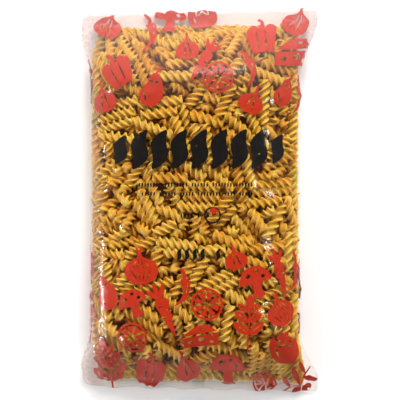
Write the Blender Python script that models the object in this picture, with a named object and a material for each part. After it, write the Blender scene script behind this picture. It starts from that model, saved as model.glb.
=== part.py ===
"""Clear pillow bag of spiral pasta, lying on its back with its printed face up.

The bag is a film tube closed by a flat seal at each end. Its sections are as wide as the tube allows
for their thickness, so it is widest, and flat, at the seals. The spirals that press against the film
show through it in relief. +X is the bag's right, +Y its top end, +Z up. Metres.
"""

import math
import random

import bmesh
import bpy
from mathutils import Matrix, Vector

# Film bag
FLAT_WIDTH = 0.2214  # the empty tube, as at the seals
BAG_LENGTH = 0.3560  # between the seals' outer edges, along the middle
END_SLANT = 0.0250  # rise of the two end edges for each metre towards +X
SEAL_LENGTH = 0.0100
SEAL_THICKNESS = 0.0012
SEAL_HEIGHT = 0.0070  # of the seals' inner lines above the floor
SEAL_EDGE_HEIGHT = 0.0030  # of their outer edges, which droop
CORNER_RADII = {(-1, -1): 0.0110, (1, -1): 0.0020, (-1, 1): 0.0030, (1, 1): 0.0030}
BODY_SHIFT = -0.0045  # the filled body lies left of the middle between the seals' corners

# Filled body
CROWN_HEIGHT = 0.0390  # from the widest level up to the crown
BELLY_DEPTH = 0.0250  # from the widest level down to the floor
BELLY_PRESS = 0.0020  # how far the floor flattens the belly
CROWN_POWER = 2.3  # superellipse exponents of the two halves of a section
BELLY_POWER = 3.2
BOTTOM_TAPER = 0.0500  # from the seal to full thickness
TOP_TAPER = 0.0620  # longer, as the film above the pasta is slack
TAPER_POWER = 0.85
NARROWING = 1.307  # loss of width for thickness, at a fixed length of film round the section
PLEAT_HEIGHT = 0.0014  # of the soft folds that run in from the seals
PLEATS = 9
BELLY_PLEAT = 0.4  # height of the belly's folds as a share of the crown's
PLEAT_PHASE = 2.0
END_ONLY = 8  # power of a place's share of the half length, which keeps a change to the very ends

# Spirals that show through the film
SPIRAL_RADIUS = 0.0057
SPIRAL_LENGTHS = (0.0320, 0.0420)
SPIRAL_PITCH = 0.0190  # length of one full turn
SPIRAL_STEPS = 13
BLADES = 3
RELIEF = 0.0034  # how far a spiral stands out of the core
SPIRAL_GAP = 0.0004
SPIRAL_COUNT = 100  # tried in all; those with no room are left out
CHOICES = 80  # random places for each, of which the loneliest is taken
SAMPLE_SHARES = (-0.42, -0.21, 0.0, 0.21, 0.42)  # of a spiral's length, where its distances are measured
LEAST_FILL = 0.75  # no spirals where the bag is thinner than this share
END_DIP = 0.0016  # how deep a spiral's ends may lie below the skin
SEED = 11

# Mesh of the core
RING = 32
STATIONS = 22


def material(name, colour, roughness):
    """A Principled material."""
    made = bpy.data.materials.new(name)
    made.use_nodes = True
    shader = made.node_tree.nodes["Principled BSDF"]
    shader.inputs["Base Color"].default_value = (*colour, 1.0)
    shader.inputs["Roughness"].default_value = roughness
    shader.inputs["Metallic"].default_value = 0.0
    return made


def clamp(value, low, high):
    return max(low, min(high, value))


def signed_power(value, power):
    return math.copysign(abs(value) ** power, value)


def fill_at(y):
    """Thickness at y as a share of the body's, 0 at the seals."""
    seal_line = BAG_LENGTH / 2 - SEAL_LENGTH
    taper = TOP_TAPER if y > 0 else BOTTOM_TAPER
    share = clamp((seal_line - abs(y)) / taper, 0.0, 1.0)
    return math.sin(share * math.pi / 2) ** TAPER_POWER


def section(y, inset=0.0):
    """Half width, middle height, crown height and belly depth at y, with crown and sides moved in."""
    fill = fill_at(y)
    half_film = FLAT_WIDTH / 2
    mean_height = fill * (CROWN_HEIGHT + BELLY_DEPTH) / 2
    half_width = half_film * (1 - NARROWING * (mean_height / half_film) ** 2)
    in_seal = clamp((abs(y) - BAG_LENGTH / 2 + SEAL_LENGTH) / SEAL_LENGTH, 0.0, 1.0)
    middle = SEAL_HEIGHT + fill * (BELLY_DEPTH - SEAL_HEIGHT)
    middle += in_seal * (SEAL_EDGE_HEIGHT - SEAL_HEIGHT)
    least = SEAL_THICKNESS / 2
    crown = max(fill * CROWN_HEIGHT - inset, least)
    belly = max(fill * (BELLY_DEPTH + BELLY_PRESS), least)
    return half_width - inset * fill, middle, crown, belly


def corner_cut(x, y, half_width):
    """How far the rounded corner of the bag pulls the film in along Y at this x."""
    radius = CORNER_RADII[(1 if x > 0 else -1, 1 if y > 0 else -1)]
    past = abs(x) - (half_width - radius)
    if past <= 0:
        return 0.0
    return radius - math.sqrt(max(radius**2 - min(past, radius) ** 2, 0.0))


def pleat(x, y):
    """Soft folds of the slack film near the seals."""
    slack = 1 - fill_at(y)
    swell = math.sin(math.pi * clamp(slack, 0.0, 1.0))
    return PLEAT_HEIGHT * swell * math.sin(PLEATS * math.tau * x / FLAT_WIDTH + math.copysign(PLEAT_PHASE, y))


def skin_point(angle, y, inset=0.0):
    """Point of the skin at a section's angle, 0 at the bag's right edge and a quarter turn at its crown."""
    half_width, middle, crown, belly = section(y, inset)
    upper = math.sin(angle) >= 0
    power = CROWN_POWER if upper else BELLY_POWER
    height = crown if upper else belly
    x = half_width * signed_power(math.cos(angle), 2 / power)
    z = middle + height * signed_power(math.sin(angle), 2 / power)
    z += pleat(x, y) * (1.0 if upper else BELLY_PLEAT)
    near_end = clamp(abs(y) / (BAG_LENGTH / 2), 0.0, 1.0) ** END_ONLY
    cut = corner_cut(x, y, half_width) * near_end
    y_end = y + END_SLANT * x * y / (BAG_LENGTH / 2) - math.copysign(cut, y)
    return Vector((x + BODY_SHIFT * fill_at(y), y_end, max(z, 0.0)))


def station_places():
    """Values of y of the core's rings, crowded towards the seals."""
    seal_line = BAG_LENGTH / 2 - SEAL_LENGTH
    inner = [-seal_line * math.cos(math.pi * k / STATIONS) for k in range(STATIONS + 1)]
    return [-BAG_LENGTH / 2, *inner, BAG_LENGTH / 2]


def make_core(collection):
    """The filled film tube, a spiral's relief inside the skin, with its two flat seals."""
    shape = bmesh.new()
    rings = []
    for y in station_places():
        ring = [skin_point(math.tau * j / RING, y, RELIEF) for j in range(RING)]
        rings.append([shape.verts.new(point) for point in ring])
    for near, far in zip(rings, rings[1:]):
        for j in range(RING):
            k = (j + 1) % RING
            shape.faces.new((near[j], far[j], far[k], near[k]))
    for ring in (rings[0], rings[-1]):
        for j in range(RING // 2):
            corners = (ring[j], ring[j + 1], ring[(RING - j - 1) % RING], ring[(RING - j) % RING])
            shape.faces.new(list(dict.fromkeys(corners)))
    bmesh.ops.recalc_face_normals(shape, faces=shape.faces[:])
    return to_object("packet", shape, collection)


def to_object(name, shape, collection):
    mesh = bpy.data.meshes.new(name)
    shape.to_mesh(mesh)
    shape.free()
    made = bpy.data.objects.new(name, mesh)
    collection.objects.link(made)
    return made


def spiral_shape(length):
    """A three-bladed twisted bar along Z."""
    shape = bmesh.new()
    rings = []
    for k in range(SPIRAL_STEPS + 1):
        z = length * (k / SPIRAL_STEPS - 0.5)
        turn = math.tau * z / SPIRAL_PITCH
        ring = []
        for i in range(BLADES):
            angle = turn + math.tau * i / BLADES
            ring.append(shape.verts.new((SPIRAL_RADIUS * math.cos(angle), SPIRAL_RADIUS * math.sin(angle), z)))
        rings.append(ring)
    for near, far in zip(rings, rings[1:]):
        for i in range(BLADES):
            k = (i + 1) % BLADES
            shape.faces.new((near[i], near[k], far[i]))
            shape.faces.new((near[k], far[k], far[i]))
    shape.faces.new(rings[0][::-1])
    shape.faces.new(rings[-1])
    bmesh.ops.recalc_face_normals(shape, faces=shape.faces[:])
    return shape


def skin_frame(angle, y):
    """Point of the skin with its unit tangents across and along the bag, and its outward normal."""
    step = 0.001
    here = skin_point(angle, y)
    across = (skin_point(angle + step, y) - skin_point(angle - step, y)).normalized()
    along = (skin_point(angle, y + step) - skin_point(angle, y - step)).normalized()
    outward = along.cross(across).normalized()
    return here, across, along, outward


def depth_below_skin(point):
    """Rough depth of a point below the skin, along its section's radius."""
    half_width, middle, crown, belly = section(point.y)
    upper = point.z >= middle
    power = CROWN_POWER if upper else BELLY_POWER
    height = crown if upper else belly
    x = (point.x - BODY_SHIFT * fill_at(point.y)) / half_width
    z = (point.z - middle) / height
    level = (abs(x) ** power + abs(z) ** power) ** (1 / power)
    return math.hypot(x * half_width, z * height) * (1 / level - 1)


def spiral_along_skin(draw):
    """Sample points, matrix and length of a random spiral that touches the skin all along."""
    while True:
        angle = math.acos(draw.uniform(-1, 1))
        y = draw.uniform(-0.5, 0.5) * BAG_LENGTH
        turn = draw.uniform(0, math.pi)
        length = draw.uniform(*SPIRAL_LENGTHS)
        if fill_at(y) < LEAST_FILL:
            continue
        here, across, along, outward = skin_frame(angle, y)
        axis = (across * math.cos(turn) + along * math.sin(turn)).normalized()
        centre = here - outward * SPIRAL_RADIUS
        depths = [depth_below_skin(centre + axis * (end * length / 2)) for end in (-1, 1)]
        if SPIRAL_RADIUS - SPIRAL_GAP <= min(depths) and max(depths) <= SPIRAL_RADIUS + END_DIP:
            break
    points = [centre + axis * (length * share) for share in SAMPLE_SHARES]
    side = axis.cross(outward).normalized()
    turned = Matrix((outward, side, axis)).transposed().to_4x4()
    return points, Matrix.Translation(centre) @ turned, length


def spiral_places():
    """An even spread of spirals that don't touch: each is the loneliest of several random ones."""
    draw = random.Random(SEED)
    placed = []

    def room(choice):
        gaps = [(p - q).length for p in choice[0] for other in placed for q in other[0]]
        return min(gaps, default=BAG_LENGTH)

    for _ in range(SPIRAL_COUNT):
        best = max([spiral_along_skin(draw) for _ in range(CHOICES)], key=room)
        if room(best) > 2 * SPIRAL_RADIUS + SPIRAL_GAP:
            placed.append(best)
    return placed


def join_spirals(core, collection):
    """Fuses the spirals onto the core by one union."""
    for number, (_, matrix, length) in enumerate(spiral_places()):
        spiral = to_object(f"spiral_{number}", spiral_shape(length), collection)
        spiral.matrix_world = matrix
    union = core.modifiers.new("join", "BOOLEAN")
    union.operation = "UNION"
    union.operand_type = "COLLECTION"
    union.collection = collection
    union.solver = "MANIFOLD"
    apply_modifiers(core)
    for spiral in list(collection.objects):
        bpy.data.objects.remove(spiral)


def apply_modifiers(made):
    """Replaces an object's mesh by its evaluated one."""
    bpy.context.view_layer.update()
    evaluated = made.evaluated_get(bpy.context.evaluated_depsgraph_get())
    mesh = bpy.data.meshes.new_from_object(evaluated)
    made.modifiers.clear()
    made.data = mesh


def drop_scraps(made):
    """Keeps the largest connected body of a mesh."""
    shape = bmesh.new()
    shape.from_mesh(made.data)
    left, bodies = set(shape.verts), []
    while left:
        body, edge = set(), [left.pop()]
        while edge:
            vert = edge.pop()
            body.add(vert)
            near = {e.other_vert(vert) for e in vert.link_edges} & left
            left -= near
            edge.extend(near)
        bodies.append(body)
    keep = max(bodies, key=len)
    scraps = [v for v in shape.verts if v not in keep]
    bmesh.ops.delete(shape, geom=scraps, context="VERTS")
    shape.to_mesh(made.data)
    shape.free()


def main():
    for old in list(bpy.data.objects):
        bpy.data.objects.remove(old)
    packet = bpy.data.collections.new("pasta_packet")
    fused = bpy.data.collections.new("fused")
    for group in (packet, fused):
        bpy.context.scene.collection.children.link(group)
    core = make_core(packet)
    core.data.materials.append(material("pasta_in_clear_film", (0.62, 0.33, 0.08), 0.35))
    join_spirals(core, fused)
    drop_scraps(core)


main()
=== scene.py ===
import math

import bpy
import numpy as np
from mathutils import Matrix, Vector
from mathutils.geometry import delaunay_2d_cdt


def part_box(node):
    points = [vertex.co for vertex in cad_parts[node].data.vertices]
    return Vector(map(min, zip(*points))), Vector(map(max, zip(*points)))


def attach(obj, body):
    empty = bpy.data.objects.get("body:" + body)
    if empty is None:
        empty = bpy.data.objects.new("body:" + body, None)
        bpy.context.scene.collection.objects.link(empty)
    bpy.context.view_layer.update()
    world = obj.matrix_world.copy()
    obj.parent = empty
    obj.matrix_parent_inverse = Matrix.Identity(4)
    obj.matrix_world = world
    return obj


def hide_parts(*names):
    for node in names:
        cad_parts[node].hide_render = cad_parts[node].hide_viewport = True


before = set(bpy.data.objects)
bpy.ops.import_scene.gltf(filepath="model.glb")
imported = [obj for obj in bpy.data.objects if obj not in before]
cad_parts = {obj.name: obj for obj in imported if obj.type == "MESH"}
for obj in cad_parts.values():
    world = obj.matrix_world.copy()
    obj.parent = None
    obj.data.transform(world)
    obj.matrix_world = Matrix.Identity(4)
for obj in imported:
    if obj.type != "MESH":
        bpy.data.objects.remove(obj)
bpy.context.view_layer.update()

# The bag's shape, from the frame and the same rules as its solid. Metres, +Y towards the bag's top end.
LOW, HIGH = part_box("packet")
FLAT_WIDTH = HIGH.x - LOW.x  # the empty film tube, as at the seals
BAG_LENGTH = 0.3560
END_SLANT = 0.0250
SEAL_LENGTH = 0.0100
SEAL_HEIGHT = 0.0070
SEAL_EDGE_HEIGHT = 0.0030
SEAL_GAP = 0.0003
HALF_LENGTH = BAG_LENGTH / 2
SEAL_LINE = HALF_LENGTH - SEAL_LENGTH  # where the body ends and the seals begin
HALF_TUBE = FLAT_WIDTH / 2
CORNER_RADII = {(-1, -1): 0.0110, (1, -1): 0.0020, (-1, 1): 0.0030, (1, 1): 0.0030}
BODY_SHIFT = -0.0045
BELLY_DEPTH = 0.0250
BELLY_PRESS = 0.0020
CROWN_HEIGHT = HIGH.z - BELLY_DEPTH - 0.0005
CROWN_POWER = 2.3
BELLY_POWER = 3.2
BOTTOM_TAPER = 0.0500
TOP_TAPER = 0.0620
TAPER_POWER = 0.85
NARROWING = 1.307
PLEAT_HEIGHT = 0.0014
PLEATS = 9
PLEAT_SHIFT = 2.0
BELLY_PLEATS = 0.4  # height of the belly's pleats, as a share of the crown's
END_POWER = 8  # how close to the ends the corners are rounded and the edges wave
FLOOR_GAP = 0.0009  # room under the film for the folded back seam

TINY = 1e-12  # keeps a division away from zero

# Spirals
PASTA_SEED = 7
SPIRAL_COUNT = 790
SPIRAL_RADIUS = 0.0058
WALL_RADIUS = 0.0063  # least distance of a spiral's axis from the film
WALL_SPREAD = 0.0013  # standard deviation of what is added to it, so that they don't line up
END_SPREAD = 3.0  # the same at the bag's ends, as a multiple of what is added
NESTING_RADIUS = 0.0052  # at which two spirals' blades mesh
SPIRAL_LENGTHS = (0.0320, 0.0420)
BROKEN_SHARE = 0.10
BROKEN_LENGTHS = (0.45, 0.85)  # as shares of the whole spiral's length
LYING = (1.0, 1.0, 0.55)  # spread of the spirals' directions
GAP_LYING = (1.0, 1.0, 0.2)  # the same of those moved into gaps
PITCH_SPREAD = (0.88, 1.14)
SIZE_SPREAD = (0.93, 1.03)
BENDING = 0.0010
WOBBLE = 0.05  # of a spiral's thickness along it
TIP_TAPER = 0.10
SPIRAL_PITCH = 0.0197
SETTLE_STEPS, QUICK_STEPS = 300, 100
NEIGHBOUR_STEPS = 6  # between searches for pairs that may touch
NEIGHBOUR_REACH = 2.6  # of such a pair, as a multiple of their radius
START_SIZE, GROWTH = 0.55, 0.6  # the spirals' thickness at the first step, and what is added to it
PUSH_CALM = 0.6  # damps the pushes on a spiral that few others touch
LEAST_DISTANCE = 1e-6
STIFFNESS = 0.6  # how little a push turns a spiral
DRIFT = 0.00025  # towards the film at each step, so that the gaps end up inside
DRIFT_POWERS = (3.0, 5.0)  # how close to the sides and to the ends it turns towards them
DRIFT_UP = 0.8
DRIFT_CORE = 0.2  # it is less within this share of the bag
SCATTER_TRIES = 12  # random points for each that is asked for
GAP_FILLINGS, LAST_FILLING = 10, 0.9  # how often gaps are filled, and up to which share of the steps
STEEPEST = 1.35  # limits of the room that the filling has near the bag's ends and sides
SIDE_LIMIT = 0.985
CORNER_ROOM = 0.0180
FULL_CORNER_ROOM = 0.0110  # at the bottom right, where the spirals reach farther into the corner
THINNEST = 0.0010
CROWN_ROOM = 0.0072  # least distance of a spiral's axis from the top of the frame's box
FLOOR_ROOM = 0.0074  # and from the floor
RESEEDED = 60  # at most, at each filling of the gaps
GAP_TRIES = 3000
GAP_DEPTHS = (0.0065, 0.0170)
GAP_SIZE = 0.0086  # least distance from all axes of a spot that counts as a gap
BLADES = 3
PASTA_BOTTOM = -0.1660  # how far the spirals' axes reach along the bag
PASTA_TOP = 0.1600
END_WAVE = 0.0011  # of the filling's two ends
END_WAVES = 110  # radians a metre
FRONT_HEIGHT = 0.0140  # least height of a front spiral's middle
SHOWN_DEPTH = 0.0285  # of a spiral's middle below the film
NEAR_DEPTH = 0.0115
SHADE_DEPTH = 0.0200  # at which the pasta's painted shade is darkest
CORE_INSET = 0.0325
CORE_LEAST = 0.2  # of the bag's half width and height, left to the core where the bag is thin
CORE_LIFT = 0.6  # of the inset, under the core
CORE_RINGS, CORE_SIDES = 40, 48
# painted shade: the colour that the shown spirals are tinted towards the deeper they lie below the film
PAINTED_SHADE_TINT = (1.0, 0.64, 0.06)
BLADE_SHAPES = {  # by points a blade: radius (a share), degrees from the blade's middle, degrees of lean
    6: ((0.36, -60, 0), (0.67, -20, 9), (0.95, -12, 15), (1.0, 0, 17), (0.95, 12, 15), (0.67, 20, 9)),
    4: ((0.36, -60, 0), (0.82, -19, 12), (1.0, 0, 17), (0.82, 19, 12)),
}

# Film mesh
TOP_COLUMNS = 196
BELLY_COLUMNS = 72
SEAL_ROWS = 22
BODY_ROWS = 316
SECTION_POINTS = 241  # from which each half of a row is made
WELD_ROWS = (11, 22)  # of the film at the bottom and top end, that the pasta doesn't lift
FILM_OFF_PASTA = 0.0005
TIP_SHARE = 0.06  # of a spiral's length at each end, over which the film rounds off
PRINT_DEPTH = 0.0002  # the ink is on the film's inner face
SAG = 0.000006  # of the film between contacts, for each step of the draping
DEEPEST_SAG = 0.0026
SAG_BY_FILL = (1.6, -0.25)  # share of that sag: so much for each fill, and what is added
DRAPE_STEPS = 150
CREASES = 130
CREASE_TURN = 0.8  # standard deviation of their turns from the bag's width
CREASE_LENGTHS, CREASE_HEIGHTS = (0.008, 0.030), (0.0002, 0.0006)
END_CREASES = 44  # at each seal
END_CREASE_FAN, END_CREASE_TURN = 0.5, 0.3
END_CREASE_INSETS = (0.008, 0.028)  # from the seal's inner edge
END_CREASE_LENGTHS, END_CREASE_HEIGHTS = (0.014, 0.036), (0.0004, 0.0011)
CREASE_BEND = 0.0012
CREASE_WIDTH, WIDTH_BY_HEIGHT = 0.0014, 1.2
SMOOTH_X = -0.0895  # where the film stands off the pasta
SMOOTH_WIDTH = 0.0065
SMOOTH_ENDS = (-0.1600, 0.0100)
SMOOTH_FADE = 0.0200  # over which it sets in, at either end
SMOOTH_SHARE = 1.6
SMOOTH_BLOBS = (-0.0610, -0.0840)  # where it is nearly flat across
BLOB_SIZE = 0.0050
SIDE_LIFT = 0.0004
SIDE_TILT = 0.022
TILT_WAVES = (120, 430)  # of its long and its short waves, radians a metre
BLOB_FLATNESS = 5.0
LEFT_STRIP = -0.0880  # the film has haze and a painted sheen to the left of this
STRIP_FADE = 0.0100
# milky haze and painted sheen of the film's left strip
SIDE_HAZE_AND_SHEEN = 0.55
EAR_HAZE_AND_SHADE = 0.55  # haze and painted shade of the loose film near the seals
EAR_SPANS = (0.14, 0.95)  # how far it reaches from the bottom and the top seal
EAR_FADE = 1.6
FOLD_HAZE_AND_SHADE = 0.75  # more in its sharp folds, as painted shade and sheen of their facets
RIM_HAZE_AND_SHEEN = 0.30  # more along the flat film's edges, as a painted sheen
RIM_COLUMNS = 1.5
RIM_WIDTH = 0.0010
RIM_FILL = 0.8  # the body's sides have no rim where it is fuller than this
TOP_HAZE_AND_SHEEN = (0.0800, 0.1250, 0.27)  # haze and painted sheen at the top end: where it sets in, where it is full, and how much it is
CRUMPLES = (  # x, y, size and height of the slack film's dents
    (-0.100, 0.156, 0.024, 0.0013),
    (0.098, 0.158, 0.022, 0.0008),
    (-0.094, -0.150, 0.026, 0.0010),
    (0.100, -0.160, 0.018, 0.0004),
)
CRUMPLE_WAVES = 620.0
EDGE_WAVE = 0.0009  # of the seals' outer edges
EDGE_WAVES = (190, 410)  # of its long and its short waves, radians a metre
SHORT_WAVES = 0.6  # height of the short ones, as a share of the long
TOP_LEFT_WAVES, OTHER_WAVES = 1.6, 0.5  # times as high at the top left and elsewhere
SEAL_RIB = 0.00022
SEAL_RIB_PITCH = 0.0018
SEAM_WIDTH = 0.0120
SEAM_INSET = 0.0010
SEAM_DEPTHS = (0.0003, 0.0007)  # of the folded seam's two faces below the film
SEAM_ROWS, SEAM_COLUMNS = 120, 5

# Print
PRINT_SEED = 7
MESH_STEP = 0.0014  # largest gap between the points of a printed shape
TRIANGLE_ROW = 0.87  # height of a triangle with equal sides
MOTIF_SIZES, MOTIF_TURN = (0.90, 1.18), 32  # shares of a figure's own size, and most degrees
MOTIF_GAP = 0.0019
SAME_MOTIF_GAP = 0.0400
EAR_START = 0.1300  # beyond this no motif lies on the back or across the tube's side edges
EAR_EDGE = 0.0140
MOTIF_RIM = 20  # directions in which a motif's reach is measured
MOTIF_BANDS = ((0.0780, 0.1860, 2500), (-0.1860, -0.0380, 5000))  # low, high and tries
DIAL_X, DIAL_Y = 0.0160, -0.0140
DIAL_RADIUS = 0.0078
DIAL_HANDS = ((-0.0005, 0.0045), (0.0030, 0.0012))
HAND_WIDTH = 0.0011
TWIST_X = (-0.0790, 0.0870)  # the drawn spiral's left and right ends
TWIST_Y = 0.0465
TWIST_HEIGHT = 0.0370
TWIST_BLADES = 9
TWIST_STEPS = 16
CIRCLE_POINTS, LEAF_POINTS, BAR_POINTS, SMOOTH_STEPS = 36, 9, 7, 7  # of the outlines
TWIST_LEAN = 0.34
TWIST_BEND = 0.09
TWIST_TALL, TWIST_WIDE = (0.74, 1.0), (0.70, 0.84)  # of the end blades and of the others
GROUPS = (4, 9)  # least strokes of a group in a row, and one more than the most
STROKE_WIDTH, STROKE_INSET = 0.34, 0.3  # as shares of its height
STROKE_PITCH, GROUP_PITCH = 0.62, 1.25
FRONT_ROWS = (  # left, right, y and height of the rows of small strokes
    (-0.0530, 0.0580, 0.0140, 0.0044),
    (-0.0500, 0.0550, 0.0056, 0.0044),
    (-0.0140, 0.0070, -0.0145, 0.0050),
    (-0.0180, 0.0250, -0.0500, 0.0115),
)
BACK_ROWS = tuple((0.1750, 0.2680, 0.0420 - 0.0085 * k, 0.0036) for k in range(10))

# Camera: the photo's frame is so many pixels of this size
PIXELS = 400
PIXEL = 0.00093
CAMERA_HEIGHT = 2.2

# Colours and light
GOLDS = ((0.54, 0.262, 0.022), (0.63, 0.370, 0.042), (0.655, 0.432, 0.078))
# the hidden core's darker golds: painted shade that shows in the gaps between the spirals
PAINTED_SHADE_GOLDS = ((0.36, 0.12, 0.004), (0.46, 0.17, 0.006), (0.54, 0.22, 0.010))
GRAIN_SCALE, PATCH_SCALE, CRINKLE_SCALE = 2600.0, 90.0, 160.0
PASTA_ROUGHNESS = (0.42, 0.62)
PIECE_VARIETY = 0.55  # the colour's share that differs from spiral to spiral, the rest differs within each
REDS = ((0.41, 0.018, 0.003), (0.47, 0.026, 0.005))
BLACKS = ((0.003, 0.002, 0.002), (0.007, 0.005, 0.004))
INK_SPOTS, FLOOR_SPOTS = (220.0, 3.0), (3.0, 2.0)
INK_FINISH = {"Roughness": 0.5, "Specular IOR Level": 0.05}
FILM_IOR = 1.18
# the film's clear colour by its haze value; the darker tints are partly painted shade
FILM_TINTS_AND_SHADE = ((0.0, (0.985, 0.98, 0.97)), (0.5, (0.945, 0.905, 0.89)), (1.0, (0.86, 0.79, 0.78)))
FILM_MILK_AND_SHEEN = (0.001, 0.150)  # milky white, partly a painted sheen: where the film lies on the pasta, and where its haze value is highest
FLOOR_SIZE = 3.0
SKY_UP = ((0.0, 1.0), (0.50, 1.0), (0.92, 0.18))  # shades from the horizon to the zenith
SKY_ALONG = ((0.0, 0.56), (0.45, 1.0), (0.75, 1.16))  # and from the bag's bottom end to its top
SKY_STRENGTH = 1.1
LIGHTS = (  # name, place, size, power, and whether only the film mirrors it
    ("streak", (-1.5, -0.73, 0.62), (1.44, 0.13), 120.0, True),
    ("side", (-1.5, 0.1, 0.9), (0.8, 0.8), 7.0, False),
    ("glint", (0.82, 0.035, 1.05), (0.03, 0.10), 5.4, True),
    ("top", (0.25, 1.3, 1.25), (0.7, 0.5), 30.0, False),
    ("window", (0.25, 1.3, 1.25), (0.7, 0.5), 31.0, True),
)


def unit(values):
    """The values kept between 0 and 1."""
    return np.clip(values, 0.0, 1.0)


def lengths(vectors):
    """Length of each vector in a list of them."""
    return np.linalg.norm(vectors, axis=1)


def fill_at(y):
    """Thickness at y as a share of the body's, 0 at the seals."""
    taper = np.where(y > 0, TOP_TAPER, BOTTOM_TAPER)
    share = unit((SEAL_LINE - np.abs(y)) / taper)
    return np.sin(share * math.pi / 2) ** TAPER_POWER


def section(y):
    """Half width, middle height, crown height and belly depth of the filled tube at y."""
    fill = fill_at(y)
    mean_height = fill * (CROWN_HEIGHT + BELLY_DEPTH) / 2
    half_width = HALF_TUBE * (1 - NARROWING * (mean_height / HALF_TUBE) ** 2)
    in_seal = unit((np.abs(y) - HALF_LENGTH + SEAL_LENGTH) / SEAL_LENGTH)
    middle = SEAL_HEIGHT + fill * (BELLY_DEPTH - SEAL_HEIGHT)
    middle = middle + in_seal * (SEAL_EDGE_HEIGHT - SEAL_HEIGHT)
    crown = np.maximum(fill * CROWN_HEIGHT, SEAL_GAP)
    belly = np.maximum(fill * (BELLY_DEPTH + BELLY_PRESS), SEAL_GAP)
    return half_width, middle, crown, belly


def signed_power(value, power):
    """The power of the value's size, with the value's sign."""
    return np.sign(value) * np.abs(value) ** power


def arch(across, power):
    """Height of a section's arch at shares of its half width, as a share of its middle's."""
    return (1 - np.abs(across) ** power) ** (1 / power)


def skin_points(angle, y):
    """Points of the film tube before it is draped, at arrays of section angles and of y."""
    half_width, middle, crown, belly = section(y)
    upper = np.sin(angle) >= 0
    power = np.where(upper, CROWN_POWER, BELLY_POWER)
    height = np.where(upper, crown, belly)
    x = half_width * signed_power(np.cos(angle), 2 / power)
    z = middle + height * signed_power(np.sin(angle), 2 / power)
    fill = fill_at(y)
    swell = np.sin(math.pi * unit(1 - fill))
    pleats = np.sin(PLEATS * math.tau * x / FLAT_WIDTH + PLEAT_SHIFT * np.sign(y))
    z = z + PLEAT_HEIGHT * swell * pleats * np.where(upper, 1.0, BELLY_PLEATS)
    near_end = unit(np.abs(y) / HALF_LENGTH) ** END_POWER
    cut = np.zeros_like(x)
    for (side, end), radius in CORNER_RADII.items():
        here = (np.sign(x) == side) & (np.sign(y) == end)
        past = np.clip(np.abs(x) - (half_width - radius), 0.0, radius)
        cut = np.where(here, radius - np.sqrt(np.maximum(radius**2 - past**2, 0.0)), cut)
    y_end = y + END_SLANT * x * y / HALF_LENGTH - np.sign(y) * cut * near_end
    long_wave, short_wave = np.sin(x * EDGE_WAVES[0] + 1.0), SHORT_WAVES * np.sin(x * EDGE_WAVES[1])
    raggedness = np.where((x < 0) & (y > 0), TOP_LEFT_WAVES, OTHER_WAVES)
    y_end = y_end + EDGE_WAVE * (long_wave + short_wave * raggedness) * near_end
    return np.stack([x + BODY_SHIFT * fill, y_end, np.maximum(z, FLOOR_GAP)], axis=-1)


def contain(points, radius):
    """The same points, moved into the bag so that a ball of that radius round each stays in it."""
    spare = END_SPREAD * (radius - WALL_RADIUS)
    wave = END_WAVE * (1 + np.sin(points[:, 0] * END_WAVES + 0.9))
    y = np.clip(points[:, 1], PASTA_BOTTOM + spare + wave, PASTA_TOP - spare - wave)
    half_width, middle, crown, belly = section(y)
    step = 0.001
    slope = (section(y + step)[2] - section(y - step)[2]) / (2 * step)
    clear = radius * np.minimum(np.sqrt(1 + slope**2), STEEPEST)
    room = np.where((points[:, 0] > 0) & (y < 0), FULL_CORNER_ROOM, CORNER_ROOM)
    width = half_width - radius - room * (1 - fill_at(y))
    shift = BODY_SHIFT * fill_at(y)
    across = np.clip((points[:, 0] - shift) / width, -SIDE_LIMIT, SIDE_LIMIT)
    crown_room = np.maximum(crown - clear, THINNEST) * arch(across, CROWN_POWER)
    belly_room = np.maximum(belly - clear, THINNEST) * arch(across, BELLY_POWER)
    floor = np.maximum(middle - belly_room, radius + FLOOR_GAP)
    z = np.maximum(np.minimum(points[:, 2], middle + crown_room), floor)
    return np.stack([shift + width * across, y, z], axis=1)


def outward(points):
    """Directions from the bag's middle towards its film, of full length but near the middle."""
    half_width, middle, crown, belly = section(points[:, 1])
    x = (points[:, 0] - BODY_SHIFT) / half_width
    y = points[:, 1] / HALF_LENGTH
    z = (points[:, 2] - middle) / np.where(points[:, 2] > middle, crown, belly)
    sideways, endways = DRIFT_POWERS
    way = np.stack([signed_power(x, sideways), signed_power(y, endways), DRIFT_UP * z], axis=1)
    return way / np.maximum(lengths(way), DRIFT_CORE)[:, None]


def scattered_in_bag(count, draw):
    """Random points spread evenly through the filled part of the bag."""
    low, high = (LOW.x, PASTA_BOTTOM, LOW.z), (HIGH.x, PASTA_TOP, HIGH.z)
    places = draw.uniform(low, high, (SCATTER_TRIES * count, 3))
    moved = lengths(contain(places, WALL_RADIUS) - places)
    return places[moved < THINNEST][:count]


def nearest_on_axes(starts, ways, other_starts, other_ways):
    """Shares along pairs of segments at which they come closest."""
    gap = starts - other_starts
    a = np.einsum("ij,ij->i", ways, ways)
    e = np.einsum("ij,ij->i", other_ways, other_ways)
    b = np.einsum("ij,ij->i", ways, other_ways)
    c = np.einsum("ij,ij->i", ways, gap)
    f = np.einsum("ij,ij->i", other_ways, gap)
    s = unit((b * f - c * e) / np.maximum(a * e - b * b, TINY))
    t = unit((b * s + f) / np.maximum(e, TINY))
    s = unit((b * t - c) / np.maximum(a, TINY))
    return s, t


def distance_to_axes(places, start, end):
    """Distance of each place from the nearest spiral's axis."""
    way = end - start
    nearest = np.full(len(places), np.inf)
    for p, w in zip(start, way):
        share = unit((places - p) @ w / (w @ w))
        nearest = np.minimum(nearest, lengths(places - p - share[:, None] * w))
    return nearest


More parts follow.
